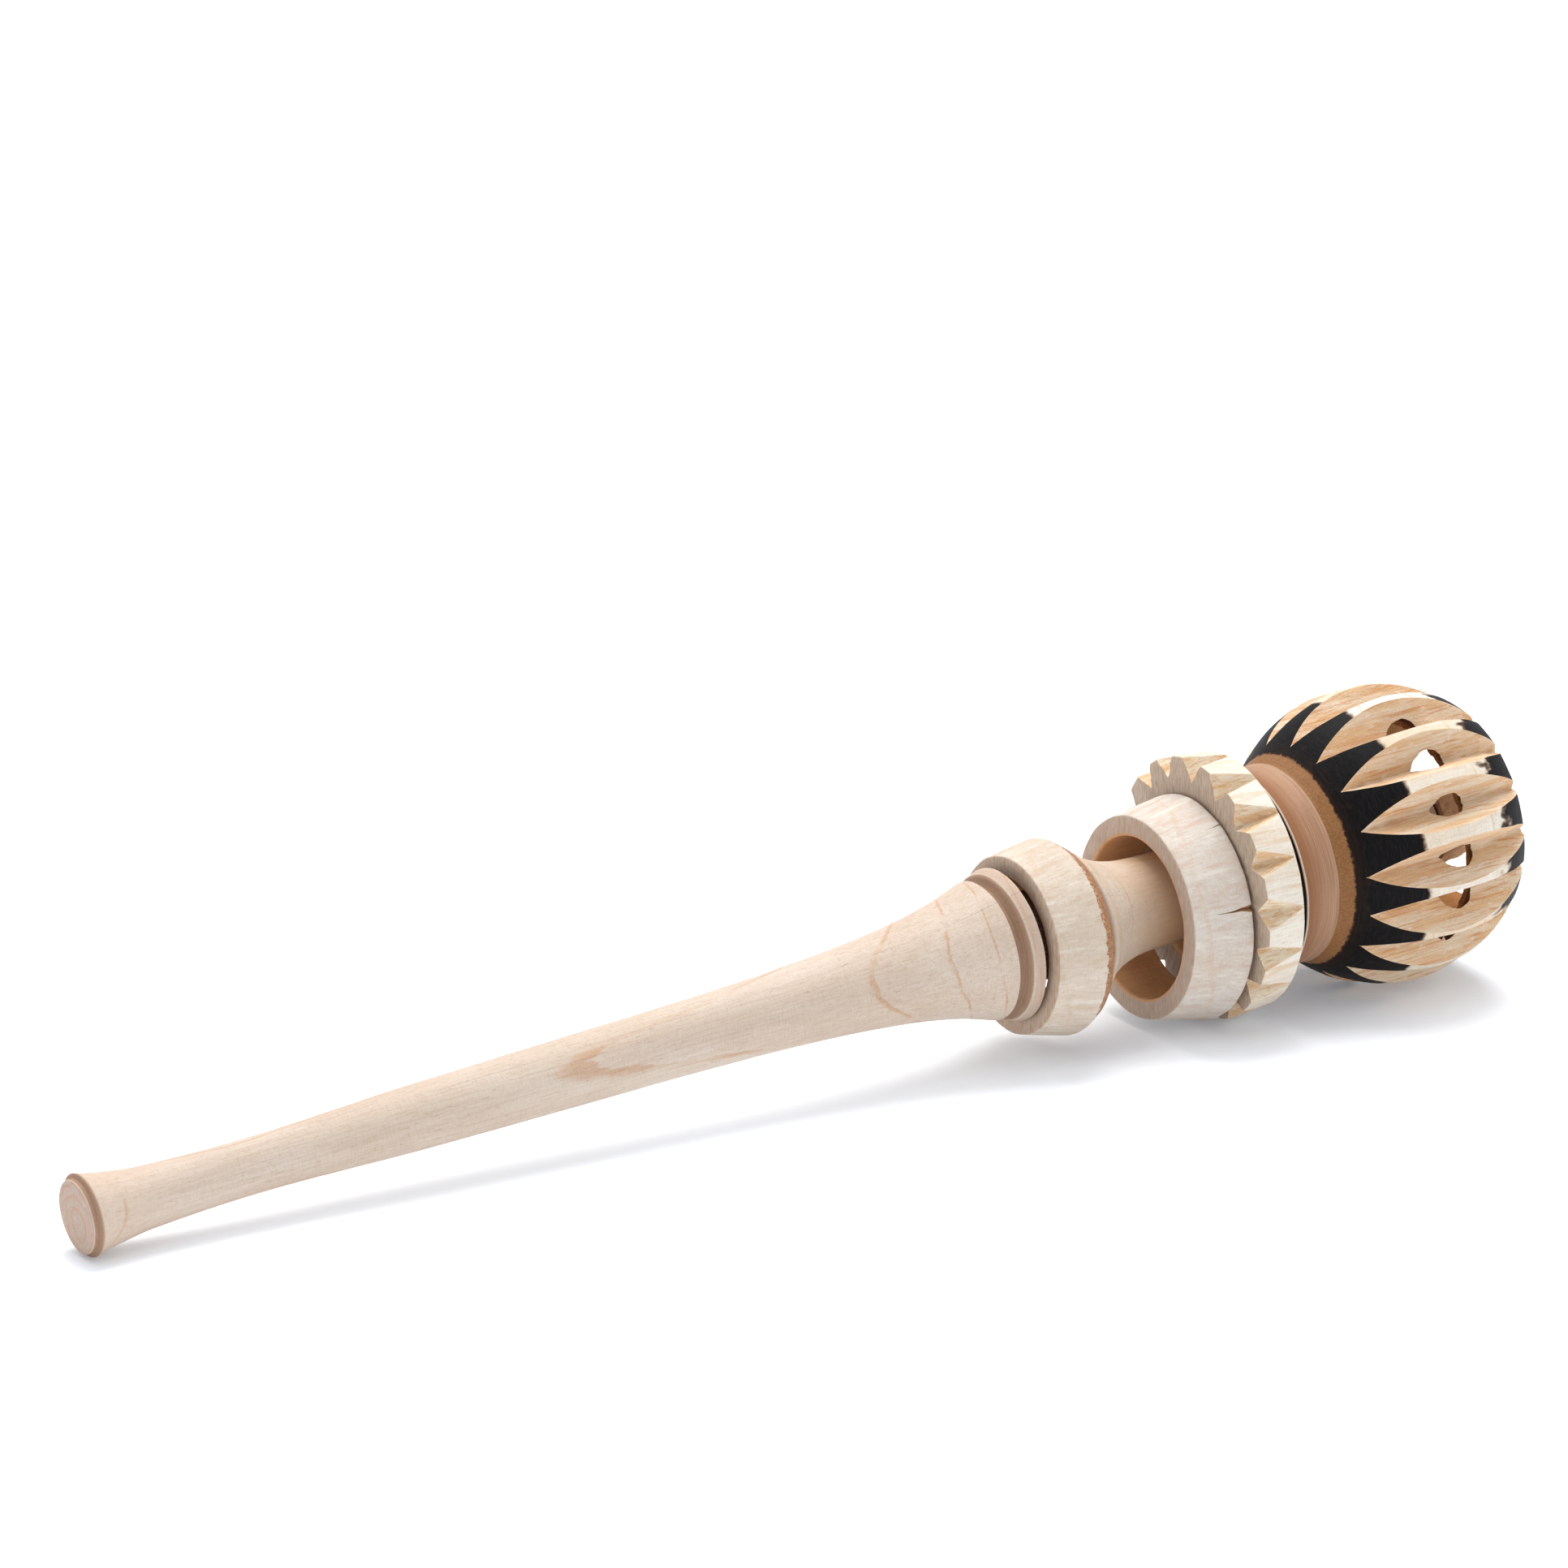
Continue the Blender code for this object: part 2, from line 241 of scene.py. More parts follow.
def column_angles(cuts, stations, radii):
    """Angles of every mesh column at every row, and for each column the cut that it crosses, or -1."""
    order = sorted(cuts, key=lambda c: c.azimuth)
    columns, owner = [], []
    for k, cut in enumerate(order):
        following = order[(k + 1) % len(order)]
        gap = (following.azimuth - cut.azimuth) % (2 * pi)
        edge = np.clip(np.abs(cut.edge_angle(stations, radii)), NARROWEST, 0.47 * gap)
        next_edge = np.clip(np.abs(following.edge_angle(stations, radii)), NARROWEST, 0.47 * gap)
        columns += [cut.azimuth + edge * t for t in ACROSS_CUT]
        owner += [k] * len(ACROSS_CUT)
        land = gap - edge - next_edge
        columns += [cut.azimuth + edge + land * t for t in ACROSS_LAND]
        owner += [-1] * len(ACROSS_LAND)
    return order, np.stack(columns, axis=1), np.array(owner)


def outline_normals(stations, radii, closed):
    """The outline's outward normals, as their parts along the stick and away from its axis."""
    if closed:
        run = np.roll(stations, -1) - np.roll(stations, 1)
        rise = np.roll(radii, -1) - np.roll(radii, 1)
    else:
        run, rise = np.gradient(stations), np.gradient(radii)
    length = np.maximum(np.hypot(run, rise), 1e-9)
    return -rise / length, run / length


def surface(name, matrix, outline, dress, cuts=(), closed=False, sides=360, carve_after=-1e9):
    """A turned and carved surface as a mesh. Face slot 0 is turned wood, 1 is cut wood.

    dress(points, depth) gives how far each point moves out along the outline's normal, where depth is
    how far the V cuts reach below the turned surface there.
    """
    stations = np.array([s for s, _ in outline])
    radii = np.array([r for _, r in outline])
    if cuts:
        order, angles, owner = column_angles(cuts, stations, radii)
    else:
        angles = np.tile(np.linspace(0, 2 * pi, sides, endpoint=False), (len(outline), 1))
        order, owner = [], np.full(sides, -1)
    rows, columns = angles.shape
    radius = np.repeat(radii[:, None], columns, axis=1)
    depth = np.zeros_like(radius)
    for k, cut in enumerate(order):
        near = (angles - cut.azimuth + pi) % (2 * pi) - pi
        reach = radius - cut.radius(stations[:, None], near)
        depth = np.maximum(depth, np.where((stations > carve_after)[:, None], reach, -1e3))
        depth = np.maximum(depth, 0)
    softened = 0.5 * (depth + np.sqrt(depth ** 2 + 0.12 ** 2)) - 0.06
    along = np.repeat(stations[:, None], columns, axis=1)
    extra = dress(np.stack([np.cos(angles) * radius, np.sin(angles) * radius, along], axis=-1), depth)
    out_along, out_radius = outline_normals(stations, radii, closed)
    solid = radius > 0.02
    radius = np.where(solid, radius - softened + extra * out_radius[:, None], 0.0)
    along = np.where(solid, along + extra * out_along[:, None], along)
    points = np.stack([np.cos(angles) * radius, np.sin(angles) * radius, along], axis=-1)

    index = np.arange(rows * columns).reshape(rows, columns)
    right = np.roll(index, -1, axis=1)
    lower, upper = index[:-1], index[1:]
    faces = np.stack([lower, np.roll(lower, -1, axis=1), np.roll(upper, -1, axis=1), upper], axis=-1)
    same_cut = (owner >= 0) & (owner == np.roll(owner, -1))
    carved = same_cut[None, :] & (depth[1:] + np.roll(depth[1:], -1, axis=1) > 0.02)
    if closed:
        seam = np.stack([index[-1], right[-1], right[0], index[0]], axis=-1)[None]
        faces = np.concatenate([faces, seam])
        carved = np.concatenate([carved, np.zeros((1, columns), bool)])
    mesh = bpy.data.meshes.new(name)
    mesh.from_pydata((points.reshape(-1, 3) * MM).tolist(), [], faces.reshape(-1, 4).tolist())
    mesh.polygons.foreach_set("material_index", carved.reshape(-1).astype(np.int32))
    return finish_mesh(name, mesh, matrix)


def finish_mesh(name, mesh, matrix):
    """An object from a mesh whose poles and seams are welded and whose faces point out."""
    work = bmesh.new()
    work.from_mesh(mesh)
    bmesh.ops.remove_doubles(work, verts=work.verts, dist=0.5e-6)
    bmesh.ops.recalc_face_normals(work, faces=work.faces)
    work.to_mesh(mesh)
    work.free()
    mesh.transform(matrix)
    piece = bpy.data.objects.new(name, mesh)
    bpy.context.scene.collection.objects.link(piece)
    return piece


def cut_away(piece, cutter):
    """Take the cutter out of the piece for good; its faces keep their own material slot."""
    boolean = piece.modifiers.new("cut", "BOOLEAN")
    boolean.operation = "DIFFERENCE"
    boolean.solver = "MANIFOLD"
    boolean.object = cutter
    graph = bpy.context.evaluated_depsgraph_get()
    result = bpy.data.meshes.new_from_object(piece.evaluated_get(graph))
    piece.modifiers.clear()
    piece.data = result
    bpy.data.objects.remove(cutter, do_unlink=True)


def shade(piece):
    """Smooth shading, with creases kept sharp."""
    piece.data.shade_smooth()
    piece.data.set_sharp_from_angle(angle=SHARP_FROM)


# ---------------------------------------------------------------- shader nodes

def screen(red, green, blue):
    """Linear colour of an 8-bit screen colour."""
    return tuple(c / 255 / 12.92 if c <= 10 else ((c / 255 + 0.055) / 1.055) ** 2.4
                 for c in (red, green, blue)) + (1.0,)


class Shader:
    """A material under construction. Its positions are in millimetres in the piece's own frame."""

    def __init__(self, name, matrix):
        self.material = bpy.data.materials.new(name)
        self.material.use_nodes = True
        self.nodes = self.material.node_tree.nodes
        self.surface = self.nodes["Principled BSDF"]
        coordinates = self.nodes.new("ShaderNodeTexCoord")
        from_origin = self.vector("SUBTRACT", coordinates.outputs["Object"], matrix.translation)
        axes = [matrix.col[i].to_3d() for i in range(3)]
        self.x, self.y, self.z = (self.vector("DOT_PRODUCT", from_origin, axis / MM) for axis in axes)
        self.place = self.join(self.x, self.y, self.z)
        self.along_grain = self.vector("DOT_PRODUCT", coordinates.outputs["Normal"], axes[2])

    def connect(self, socket, value):
        if isinstance(value, bpy.types.NodeSocket):
            self.material.node_tree.links.new(value, socket)
        else:
            socket.default_value = value

    def vector(self, operation, first, second=None, scale=None):
        node = self.nodes.new("ShaderNodeVectorMath")
        node.operation = operation
        self.connect(node.inputs[0], first)
        if second is not None:
            self.connect(node.inputs[1], second)
        if scale is not None:
            self.connect(node.inputs["Scale"], scale)
        return node.outputs["Value" if operation in ("LENGTH", "DOT_PRODUCT") else "Vector"]

    def join(self, x, y, z):
        node = self.nodes.new("ShaderNodeCombineXYZ")
        for socket, value in zip(node.inputs, (x, y, z)):
            self.connect(socket, value)
        return node.outputs[0]

    def math(self, operation, first, second=0.0):
        node = self.nodes.new("ShaderNodeMath")
        node.operation = operation
        self.connect(node.inputs[0], first)
        self.connect(node.inputs[1], second)
        return node.outputs[0]

    def fade(self, value, low, high, start=0.0, end=1.0):
        """start below low, end above high, and a smooth change between."""
        node = self.nodes.new("ShaderNodeMapRange")
        node.interpolation_type = "SMOOTHSTEP"
        self.connect(node.inputs["Value"], value)
        for name, number in (("From Min", low), ("From Max", high), ("To Min", start), ("To Max", end)):
            self.connect(node.inputs[name], number)
        return node.outputs["Result"]

    def noise(self, sizes, seed, detail=2.0, roughness=0.5, place=None, colour=False):
        """Noise with features of about the given sizes in millimetres; 0 to 1, mostly near 0.5."""
        stretched = self.vector("MULTIPLY", place or self.place, tuple(1 / s for s in sizes))
        moved = self.vector("ADD", stretched, (seed * 7.31, seed * 3.17, seed * 5.53))
        node = self.nodes.new("ShaderNodeTexNoise")
        self.connect(node.inputs["Vector"], moved)
        node.inputs["Scale"].default_value = 1.0
        node.inputs["Detail"].default_value = detail
        node.inputs["Roughness"].default_value = roughness
        return node.outputs["Color" if colour else "Fac"]

    def mix(self, amount, first, second, blend="MIX"):
        node = self.nodes.new("ShaderNodeMix")
        node.data_type = "RGBA"
        node.blend_type = blend
        node.clamp_factor = True
        self.connect(node.inputs["Factor"], amount)
        self.connect(node.inputs["A"], first)
        self.connect(node.inputs["B"], second)
        return node.outputs["Result"]

    def both(self, first, second):
        return self.math("MULTIPLY", first, second)

    def add(self, *values):
        total = values[0]
        for value in values[1:]:
            total = self.math("ADD", total, value)
        return total

    def finish(self, colour, roughness, height, depth_mm):
        """Wire up the surface; height is 0 to 1 and stands for depth_mm of relief."""
        self.connect(self.surface.inputs["Base Color"], self.mix(1.0, colour, WOOD_TONE, "MULTIPLY"))
        self.connect(self.surface.inputs["Roughness"], roughness)
        bump = self.nodes.new("ShaderNodeBump")
        bump.inputs["Strength"].default_value = 1.0
        bump.inputs["Distance"].default_value = depth_mm * MM
        self.connect(bump.inputs["Height"], height)
        self.connect(self.surface.inputs["Normal"], bump.outputs["Normal"])
        return self.material


# ---------------------------------------------------------------- wood

WOOD_TONE = (0.82, 0.85, 0.88, 1.0)     # brings every wood colour down to the photo's exposure
PALE = screen(227, 208, 190)
PINK = screen(219, 196, 175)
CREAM = screen(230, 214, 192)
ORANGE = screen(205, 152, 108)
BROWN = screen(150, 105, 75)
CHAR = screen(10, 8, 8)
CHAR_SHEEN = screen(27, 22, 25)
SCORCHED = screen(88, 50, 24)


def growth(s, seed, spacing=RING_SPACING, wander=0.5):
    """Late-wood lines: 1 on the thin dark line that ends each year's growth, else 0."""
    drift = s.vector("SUBTRACT", s.noise((16, 16, 90), seed, 1.0, colour=True), (0.5, 0.5, 0.5))
    drift = s.vector("SCALE", drift, scale=wander)
    centred = s.vector("SUBTRACT", s.join(s.x, s.y, 0.0), (PITH.x, PITH.y, 0.0))
    ragged = s.vector("MULTIPLY", s.vector("ADD", centred, drift), (1.0, 1.0, 0.0))
    distance = s.math("DIVIDE", s.vector("LENGTH", ragged), spacing)
    age = s.math("FRACT", s.add(distance, s.fade(s.noise((0.8, 0.8, 6), seed + 1), 0, 1, -0.02, 0.02)))
    line = s.both(s.fade(age, 0.90, 0.965), s.fade(age, 0.985, 1.0, 1.0, 0.0))
    year = s.noise((4.5, 4.5, 60), seed + 2)
    return s.both(line, s.fade(year, 0.32, 0.56, 0.15, 1.0)), age


def fibres(s, seed):
    """Long fine lines along the grain, the short flecks of the cut cells, and marks across the grain."""
    long = s.noise((0.45, 0.45, 14.0), seed, 3.0, 0.6)
    flecks = s.fade(s.noise((0.22, 0.22, 1.7), seed + 1, 2.0), 0.60, 0.72)
    around = s.noise((1.6, 1.6, 0.2), seed + 2, 2.0, 0.6)
    return long, flecks, around


def end_grain(s):
    """1 where the surface is cut across the fibres."""
    return s.fade(s.math("ABSOLUTE", s.along_grain), 0.55, 0.9)


def bare_wood(s, seed, base, warm, lines=0.55, spacing=RING_SPACING):
    """Colour and relief of turned bare softwood."""
    line, age = growth(s, seed, spacing)
    long, flecks, around = fibres(s, seed + 10)
    colour = s.mix(s.fade(s.noise((14, 14, 40), seed + 20, 2.0), 0.35, 0.65), base, warm)
    colour = s.mix(s.fade(age, 0.0, 1.0, 0.0, 0.22), colour, CREAM)
    colour = s.mix(s.both(line, lines), colour, ORANGE)
    colour = s.mix(s.fade(long, 0.35, 0.7, 0.0, 0.28), colour, PINK, "MULTIPLY")
    colour = s.mix(s.fade(around, 0.35, 0.75, 0.0, 0.2), colour, screen(198, 172, 150), "MULTIPLY")
    colour = s.mix(s.both(flecks, 0.22), colour, BROWN)
    relief = s.add(s.both(long, 0.35), s.both(around, 0.3), s.both(flecks, -0.2), s.both(line, 0.12))
    return colour, relief, line


def butt_end(s, colour, line):
    """Warm wood near the butt, painted shade on the step at its rim, and the brownish grey end grain with
    growth rings.
    """
    colour = s.mix(s.fade(s.z, 4.0, 30.0, 0.35, 0.0), colour, screen(224, 192, 166))
    grain = end_grain(s)
    near_butt = s.both(grain, s.fade(s.z, -0.6, -0.3, 1.0, 0.0))
    face = s.mix(s.noise((0.5, 0.5, 0.5), 31, 4.0), screen(178, 146, 126), screen(214, 190, 172))
    swirl = s.vector("LENGTH", s.join(s.add(s.x, -1.2), s.add(s.y, 1.0), 0.0))
    wavy = s.both(s.noise((4, 4, 4), 32), 4.0)
    turns = s.math("FRACT", s.math("DIVIDE", s.add(swirl, wavy), 2.6))
    face = s.mix(s.fade(turns, 0.45, 0.95, 0.0, 0.4), face, screen(196, 132, 88))
    face = s.mix(s.both(line, 0.5), face, screen(190, 130, 92))
    colour = s.mix(s.both(near_butt, 0.9), colour, face)
    # painted shade: the left-facing step at the butt's rim darkened to brown
    step = s.both(s.fade(s.z, -1.25, -0.9), s.fade(s.z, 0.15, 0.9, 1.0, 0.0))
    return s.mix(s.both(step, 0.75), colour, screen(152, 106, 74))


def band(s, value, span, soft):
    """1 between the span's ends, which fade over soft to either side."""
    low, high = span
    return s.both(s.fade(value, low - soft, low + soft), s.fade(value, high - soft, high + soft, 1.0, 0.0))


def turned_wood(matrix):
    """The stick's turned surface: bare on the handle and neck, scorched and burnt on the head."""
    s = Shader("stick_turned_wood", matrix)
    colour, relief, line = bare_wood(s, 1, PALE, PINK)
    colour = butt_end(s, colour, line)
    ragged = s.fade(s.noise((1.1, 1.1, 2.5), 41, 4.0, 0.65), 0.25, 0.75, -0.9, 0.9)
    z = s.add(s.z, s.both(ragged, 0.35))

    # the cove and the disc behind it, darkened with painted shade over their turning marks; the torn seat
    # under the narrow ring, painted dark brown as shade; and the neck, warm in its own tone, with painted
    # warm shade inside the wide ring
    turning = s.noise((9, 9, 0.16), 44, 2.0)
    # painted shade in the cove under the lip, varied by the turning marks
    cove = s.mix(turning, screen(128, 88, 60), screen(176, 134, 102))
    colour = s.mix(s.both(band(s, s.z, COVE_COLOUR, 0.2), 0.85), colour, cove)
    # the disc's band, darkened with painted shade
    disc = s.mix(turning, screen(186, 150, 126), screen(206, 176, 154))
    colour = s.mix(s.both(band(s, s.z, DISC_COLOUR, 0.25), 0.6), colour, disc)
    fuzzy = s.noise((0.35, 0.35, 0.9), 43, 4.0, 0.7)
    # painted shade in the recess under the narrow ring: dark brown, mottled by torn fibres
    seat = band(s, s.z, SEAT_COLOUR, 0.15)
    colour = s.mix(s.both(seat, s.fade(fuzzy, 0.3, 0.6, 0.7, 0.95)), colour, screen(104, 62, 38))
    warm_neck = s.fade(s.noise((7, 7, 12), 42, 2.0), 0.3, 0.7, 0.1, 0.6)
    colour = s.mix(s.both(band(s, s.z, NECK_COLOUR, 0.5), warm_neck), colour, screen(214, 184, 154))
    in_shade = s.fade(s.z, 236.0, 250.0, 0.0, 0.55)
    colour = s.mix(s.both(in_shade, s.fade(s.z, 272.0, 273.0, 1.0, 0.0)), colour, screen(206, 152, 98))

    # the collar: a pinkish cove, then a rough tan bevel with a crisp edge against the burnt band
    turned_lines = s.noise((14, 14, 0.22), 45, 3.0)
    pinkish = s.mix(s.fade(s.z, 274.5, 282.5), screen(160, 106, 68), screen(190, 146, 114))
    pinkish = s.mix(s.fade(turned_lines, 0.35, 0.7, 0.0, 0.5), pinkish, screen(138, 90, 58))
    colour = s.mix(band(s, s.z, COLLAR_COVE_COLOUR, 0.12), colour, pinkish)
    tan_bevel = s.mix(s.fade(fuzzy, 0.3, 0.7), screen(134, 86, 44), screen(164, 112, 64))
    colour = s.mix(s.fade(s.z, 283.1, 283.35), colour, tan_bevel)

    # the head: black to the tips of the tongues, raw strips, and black again towards the rim
    raw, _, _ = bare_wood(s, 61, screen(250, 240, 224), screen(246, 222, 192), lines=0.35)
    brown_edge = s.mix(s.fade(z, 299.4, 300.6), SCORCHED, raw)
    blotch = s.fade(s.noise((3.0, 3.0, 11.0), 47, 2.0, 0.55), 0.3, 0.7, -1.0, 1.0)
    crisp = s.fade(s.noise((0.8, 0.8, 1.4), 48, 3.0, 0.6), 0.3, 0.7, -1.0, 1.0)
    end_edge = s.add(s.z, s.both(blotch, 2.6), s.both(crisp, 0.35))
    head = s.mix(s.fade(end_edge, *RIM_SCORCHED, 0.0, 0.9), brown_edge, screen(104, 66, 36))
    char_left = s.both(s.fade(z, *TONGUES_START), s.fade(z, *TONGUES_END, 1.0, 0.0))
    char_right = s.fade(end_edge, *RIM_BURNT)
    collar_face = band(s, s.z, COLLAR_FACE_COLOUR, 0.12)
    char = s.math("MINIMUM", s.add(char_left, char_right, collar_face), 1.0)
    colour = s.mix(s.fade(s.z, 286.2, 286.8), colour, head)
    sheen = s.mix(s.fade(s.noise((2.2, 2.2, 0.3), 49, 3.0), 0.4, 0.75), CHAR, CHAR_SHEEN)
    brown_patches = s.fade(s.noise((3.0, 3.0, 9.0), 51, 3.0), 0.55, 0.8, 0.0, 0.3)
    brown_lines = s.both(s.fade(s.z, 286.2, 289.5, 1.0, 0.0), s.fade(turned_lines, 0.35, 0.6, 0.05, 0.55))
    colour = s.mix(char, colour, s.mix(s.add(brown_patches, brown_lines), sheen, screen(58, 34, 20)))
    rough = s.add(0.62, s.both(char, -0.1), s.both(s.noise((2, 2, 2), 53), 0.06))
    s.connect(s.surface.inputs["Specular IOR Level"], s.fade(char, 0.2, 0.9, 0.3, 0.1))
    return s.finish(colour, rough, relief, 0.16)


def carved_wood(name, matrix, seed, base=screen(248, 222, 190), deep=screen(222, 150, 88)):
    """Knife-cut faces: pale torn fibres, with long orange streaks of late wood."""
    s = Shader(name, matrix)
    line, _ = growth(s, seed, spacing=1.7, wander=3.0)
    streak = s.noise((0.55, 0.55, 15.0), seed + 3, 3.0, 0.6)
    broad = s.noise((2.2, 2.2, 22.0), seed + 6, 2.0)
    fuzz = s.noise((0.3, 0.3, 0.7), seed + 4, 4.0, 0.7)
    chips = s.noise((1.0, 1.0, 2.6), seed + 5, 3.0, 0.6)
    colour = s.mix(s.fade(broad, 0.38, 0.62, 0.0, 0.8), base, screen(238, 190, 138))
    colour = s.mix(s.fade(streak, 0.5, 0.68, 0.0, 0.75), colour, deep)
    colour = s.mix(s.both(line, 0.4), colour, screen(218, 142, 76))
    colour = s.mix(s.fade(fuzz, 0.52, 0.75, 0.0, 0.42), colour, screen(200, 142, 92))
    colour = s.mix(s.fade(chips, 0.58, 0.72, 0.0, 0.55), colour, screen(255, 246, 232))
    relief = s.add(s.both(fuzz, 0.7), s.both(chips, 0.9), s.both(streak, 0.5))
    return s.finish(colour, 0.78, relief, 0.34)


def hollow_wood(matrix):
    """The inside of the head: a brown wall, and a post that is smooth up to its line and rough beyond."""
    s = Shader("stick_hollow_wood", matrix)
    rough = s.noise((0.6, 0.6, 0.9), 71, 4.0, 0.7)
    near_post = s.fade(s.vector("LENGTH", s.join(s.x, s.y, 0.0)), 11.5, 12.5, 1.0, 0.0)
    wall = s.mix(rough, screen(178, 108, 46), screen(214, 150, 80))
    chopped = s.mix(rough, screen(222, 166, 112), screen(248, 208, 160))
    smooth = s.mix(s.noise((3, 3, 0.5), 72), screen(240, 206, 176), screen(250, 224, 200))
    post = s.mix(s.fade(s.z, CORE_LINE, CORE_LINE + 0.4), smooth, chopped)
    post = s.mix(band(s, s.z, (CORE_LINE - 0.4, CORE_LINE + 0.4), 0.15), post, screen(74, 34, 14))
    colour = s.mix(near_post, wall, post)
    edge = s.fade(s.vector("LENGTH", s.join(s.x, s.y, 0.0)), 23.9, 24.9)
    colour = s.mix(s.both(edge, 0.8), colour, screen(96, 50, 20))
    return s.finish(colour, 0.8, rough, 0.4)


def ring_wood(name, matrix, seed, ring, base, warm, streaks, end_light, end_dark):
    """Turned bare wood of a loose ring: streaked along its axis; its end faces darker, partly end grain and
    partly painted shade; painted warm shade in its bore.
    """
    s = Shader(name, matrix)
    colour, relief, _ = bare_wood(s, seed, base, warm, 0.2, spacing=3.4)
    streak = s.noise((1.7, 1.7, 60.0), seed + 8, 3.0, 0.55)
    colour = s.mix(s.fade(streak, 0.5, 0.72, 0.0, 0.7), colour, streaks)
    colour = s.mix(s.fade(streak, 0.28, 0.45, 0.5, 0.0), colour, screen(240, 228, 212))
    # the end faces darker: partly their end grain tone, partly painted shade, with fine tool lines
    end_grain_and_shade = end_grain(s)
    fine = s.noise((2.6, 0.4, 0.5), seed + 7, 4.0)
    colour = s.mix(s.both(end_grain_and_shade, 0.85), colour, s.mix(s.fade(fine, 0.3, 0.7), end_dark, end_light))
    # painted warm shade in the bore, standing in for warm bounce light
    distance = s.vector("LENGTH", s.join(s.x, s.y, 0.0))
    bore = s.fade(distance, ring["bore"] + 0.45, ring["bore"] + 0.75, 1.0, 0.0)
    colour = s.mix(s.both(bore, 0.85), colour, s.mix(streak, screen(206, 134, 70), screen(240, 184, 124)))
    return s, colour, relief


def torn_bevel(s, colour, relief, ring):
    """The torn orange-brown end of the narrow ring, with pale fibres along its edge."""
    start = ring["width"] - ring["bevel"][0]
    fuzz = s.noise((0.5, 0.5, 2.2), 151, 4.0, 0.7)
    torn_from = s.add(s.z, s.fade(s.noise((1.2, 1.2, 3.0), 152, 3.0), 0.3, 0.7, -0.35, 0.35))
    distance = s.vector("LENGTH", s.join(s.x, s.y, 0.0))
    outside = s.fade(distance, ring["bore"] + 2.0, ring["bore"] + 2.6)
    torn = s.both(s.fade(torn_from, start - 0.1, start + 0.25), outside)
    pith = s.mix(s.fade(fuzz, 0.3, 0.65), screen(146, 92, 54), screen(198, 142, 98))
    colour = s.mix(torn, colour, pith)
    whisker = s.both(band(s, torn_from, (start - 0.1, start + 0.7), 0.3), s.fade(fuzz, 0.5, 0.62))
    colour = s.mix(s.both(whisker, 0.8), colour, screen(236, 222, 204))
    return colour, s.add(relief, s.both(torn, s.both(fuzz, 2.0)))


# ---------------------------------------------------------------- pieces

def lying_frame(origin, axis):
    """Matrix of a piece's own frame: +Z along the axis, +X down, +Y away from the viewer."""
    along = Vector(axis).normalized()
    down = Vector((0.0, 1.0, 0.0)).cross(along).normalized()
    matrix = Matrix((down, along.cross(down), along)).transposed().to_4x4()
    matrix.translation = origin
    return matrix


def frames(record):
    """The stick's frame from its butt face, the spinning rings' from their joints, the plumb ring's too."""
    butt = next(m for m in record["mounts"] if m["name"] == "butt_face")
    along = -Vector(butt["axis"]).normalized()
    stick = lying_frame(Vector(butt["pos_m"]) + along * BOSS_HEIGHT * MM, along)
    joints = {j["name"]: j for j in record["behaviour"]["joints"]}
    spins = {name: lying_frame(Vector(joints[name + "_spin"]["pos_m"]), joints[name + "_spin"]["axis"])
             for name in ("narrow_ring", "toothed_ring")}
    wide_centre = stick @ Vector((WIDE_DROP * MM, 0.0, WIDE_AT * MM))
    return {"whisk_body": stick, "wide_ring": lying_frame(wide_centre, (1.0, 0.0, 0.0)), **spins}


def flute_cuts():
    """The head's flutes: the seen ones in their places, the others spread over the hidden side."""
    random = np.random.default_rng(17)
    cuts = []
    hidden = FLUTES - len(FLUTES_SEEN)
    gap = (FLUTES_SEEN[-1] + 360 - FLUTES_SEEN[0]) / (hidden + 1)
    unseen = [FLUTES_SEEN[-1] - gap * (k + 1) + random.uniform(-0.6, 0.6) for k in range(hidden)]
    starts = FLUTE_STARTS + [random.uniform(0.0, 0.8) for _ in range(hidden)]
    for k, (from_top, start) in enumerate(zip(FLUTES_SEEN + unseen, starts)):
        stations = np.linspace(FLUTE_FLOOR[0][0], FLUTE_FLOOR[-1][0], 60)
        floor = np.interp(stations, *zip(*FLUTE_FLOOR)) + random.uniform(-0.08, 0.08)
        floor += start * np.clip((296 - stations) / 12, 0, 1)
        floor += 0.08 * ripple(np.stack([stations, stations * 0 + k, stations * 0], axis=-1), (9, 9, 9), k)
        half_angle = VEE_HALF_ANGLE + radians(random.uniform(-1, 1))
        cuts.append(Cut(from_top, half_angle, list(zip(stations, floor))))
    return cuts


def stick_dress(points, depth):
    """Unevenness of the turned surface, and torn fibres and knife strokes in the flutes."""
    in_cut = np.clip(depth / 0.7, 0, 1)
    turned = 0.035 * ripple(points, (9, 9, 25), 3) + 0.012 * ripple(points, (30, 30, 0.9), 4)
    strokes = 0.13 * ripple(points, (2.4, 2.4, 7.0), 5) + 0.07 * ripple(points, (0.9, 0.9, 3.2), 6)
    return turned * (1 - in_cut) + strokes * in_cut


def hollow_dress(points, depth):
    """A chopped, uneven wall, and a post that stays smooth up to its line."""
    radius = np.hypot(points[..., 0], points[..., 1])
    wall = np.clip((radius - 12) / 3, 0, 1)
    inside = (points[..., 2] < END_AT - 1).astype(float)
    rough_post = np.clip((points[..., 2] - CORE_LINE - 0.8) * 2, 0, 1) * (1 - wall)
    amount = 0.10 * wall + 0.12 * rough_post
    return inside * amount * (ripple(points, (2.6, 2.6, 2.6), 8) + 0.6 * ripple(points, (0.9, 0.9, 0.9), 9))


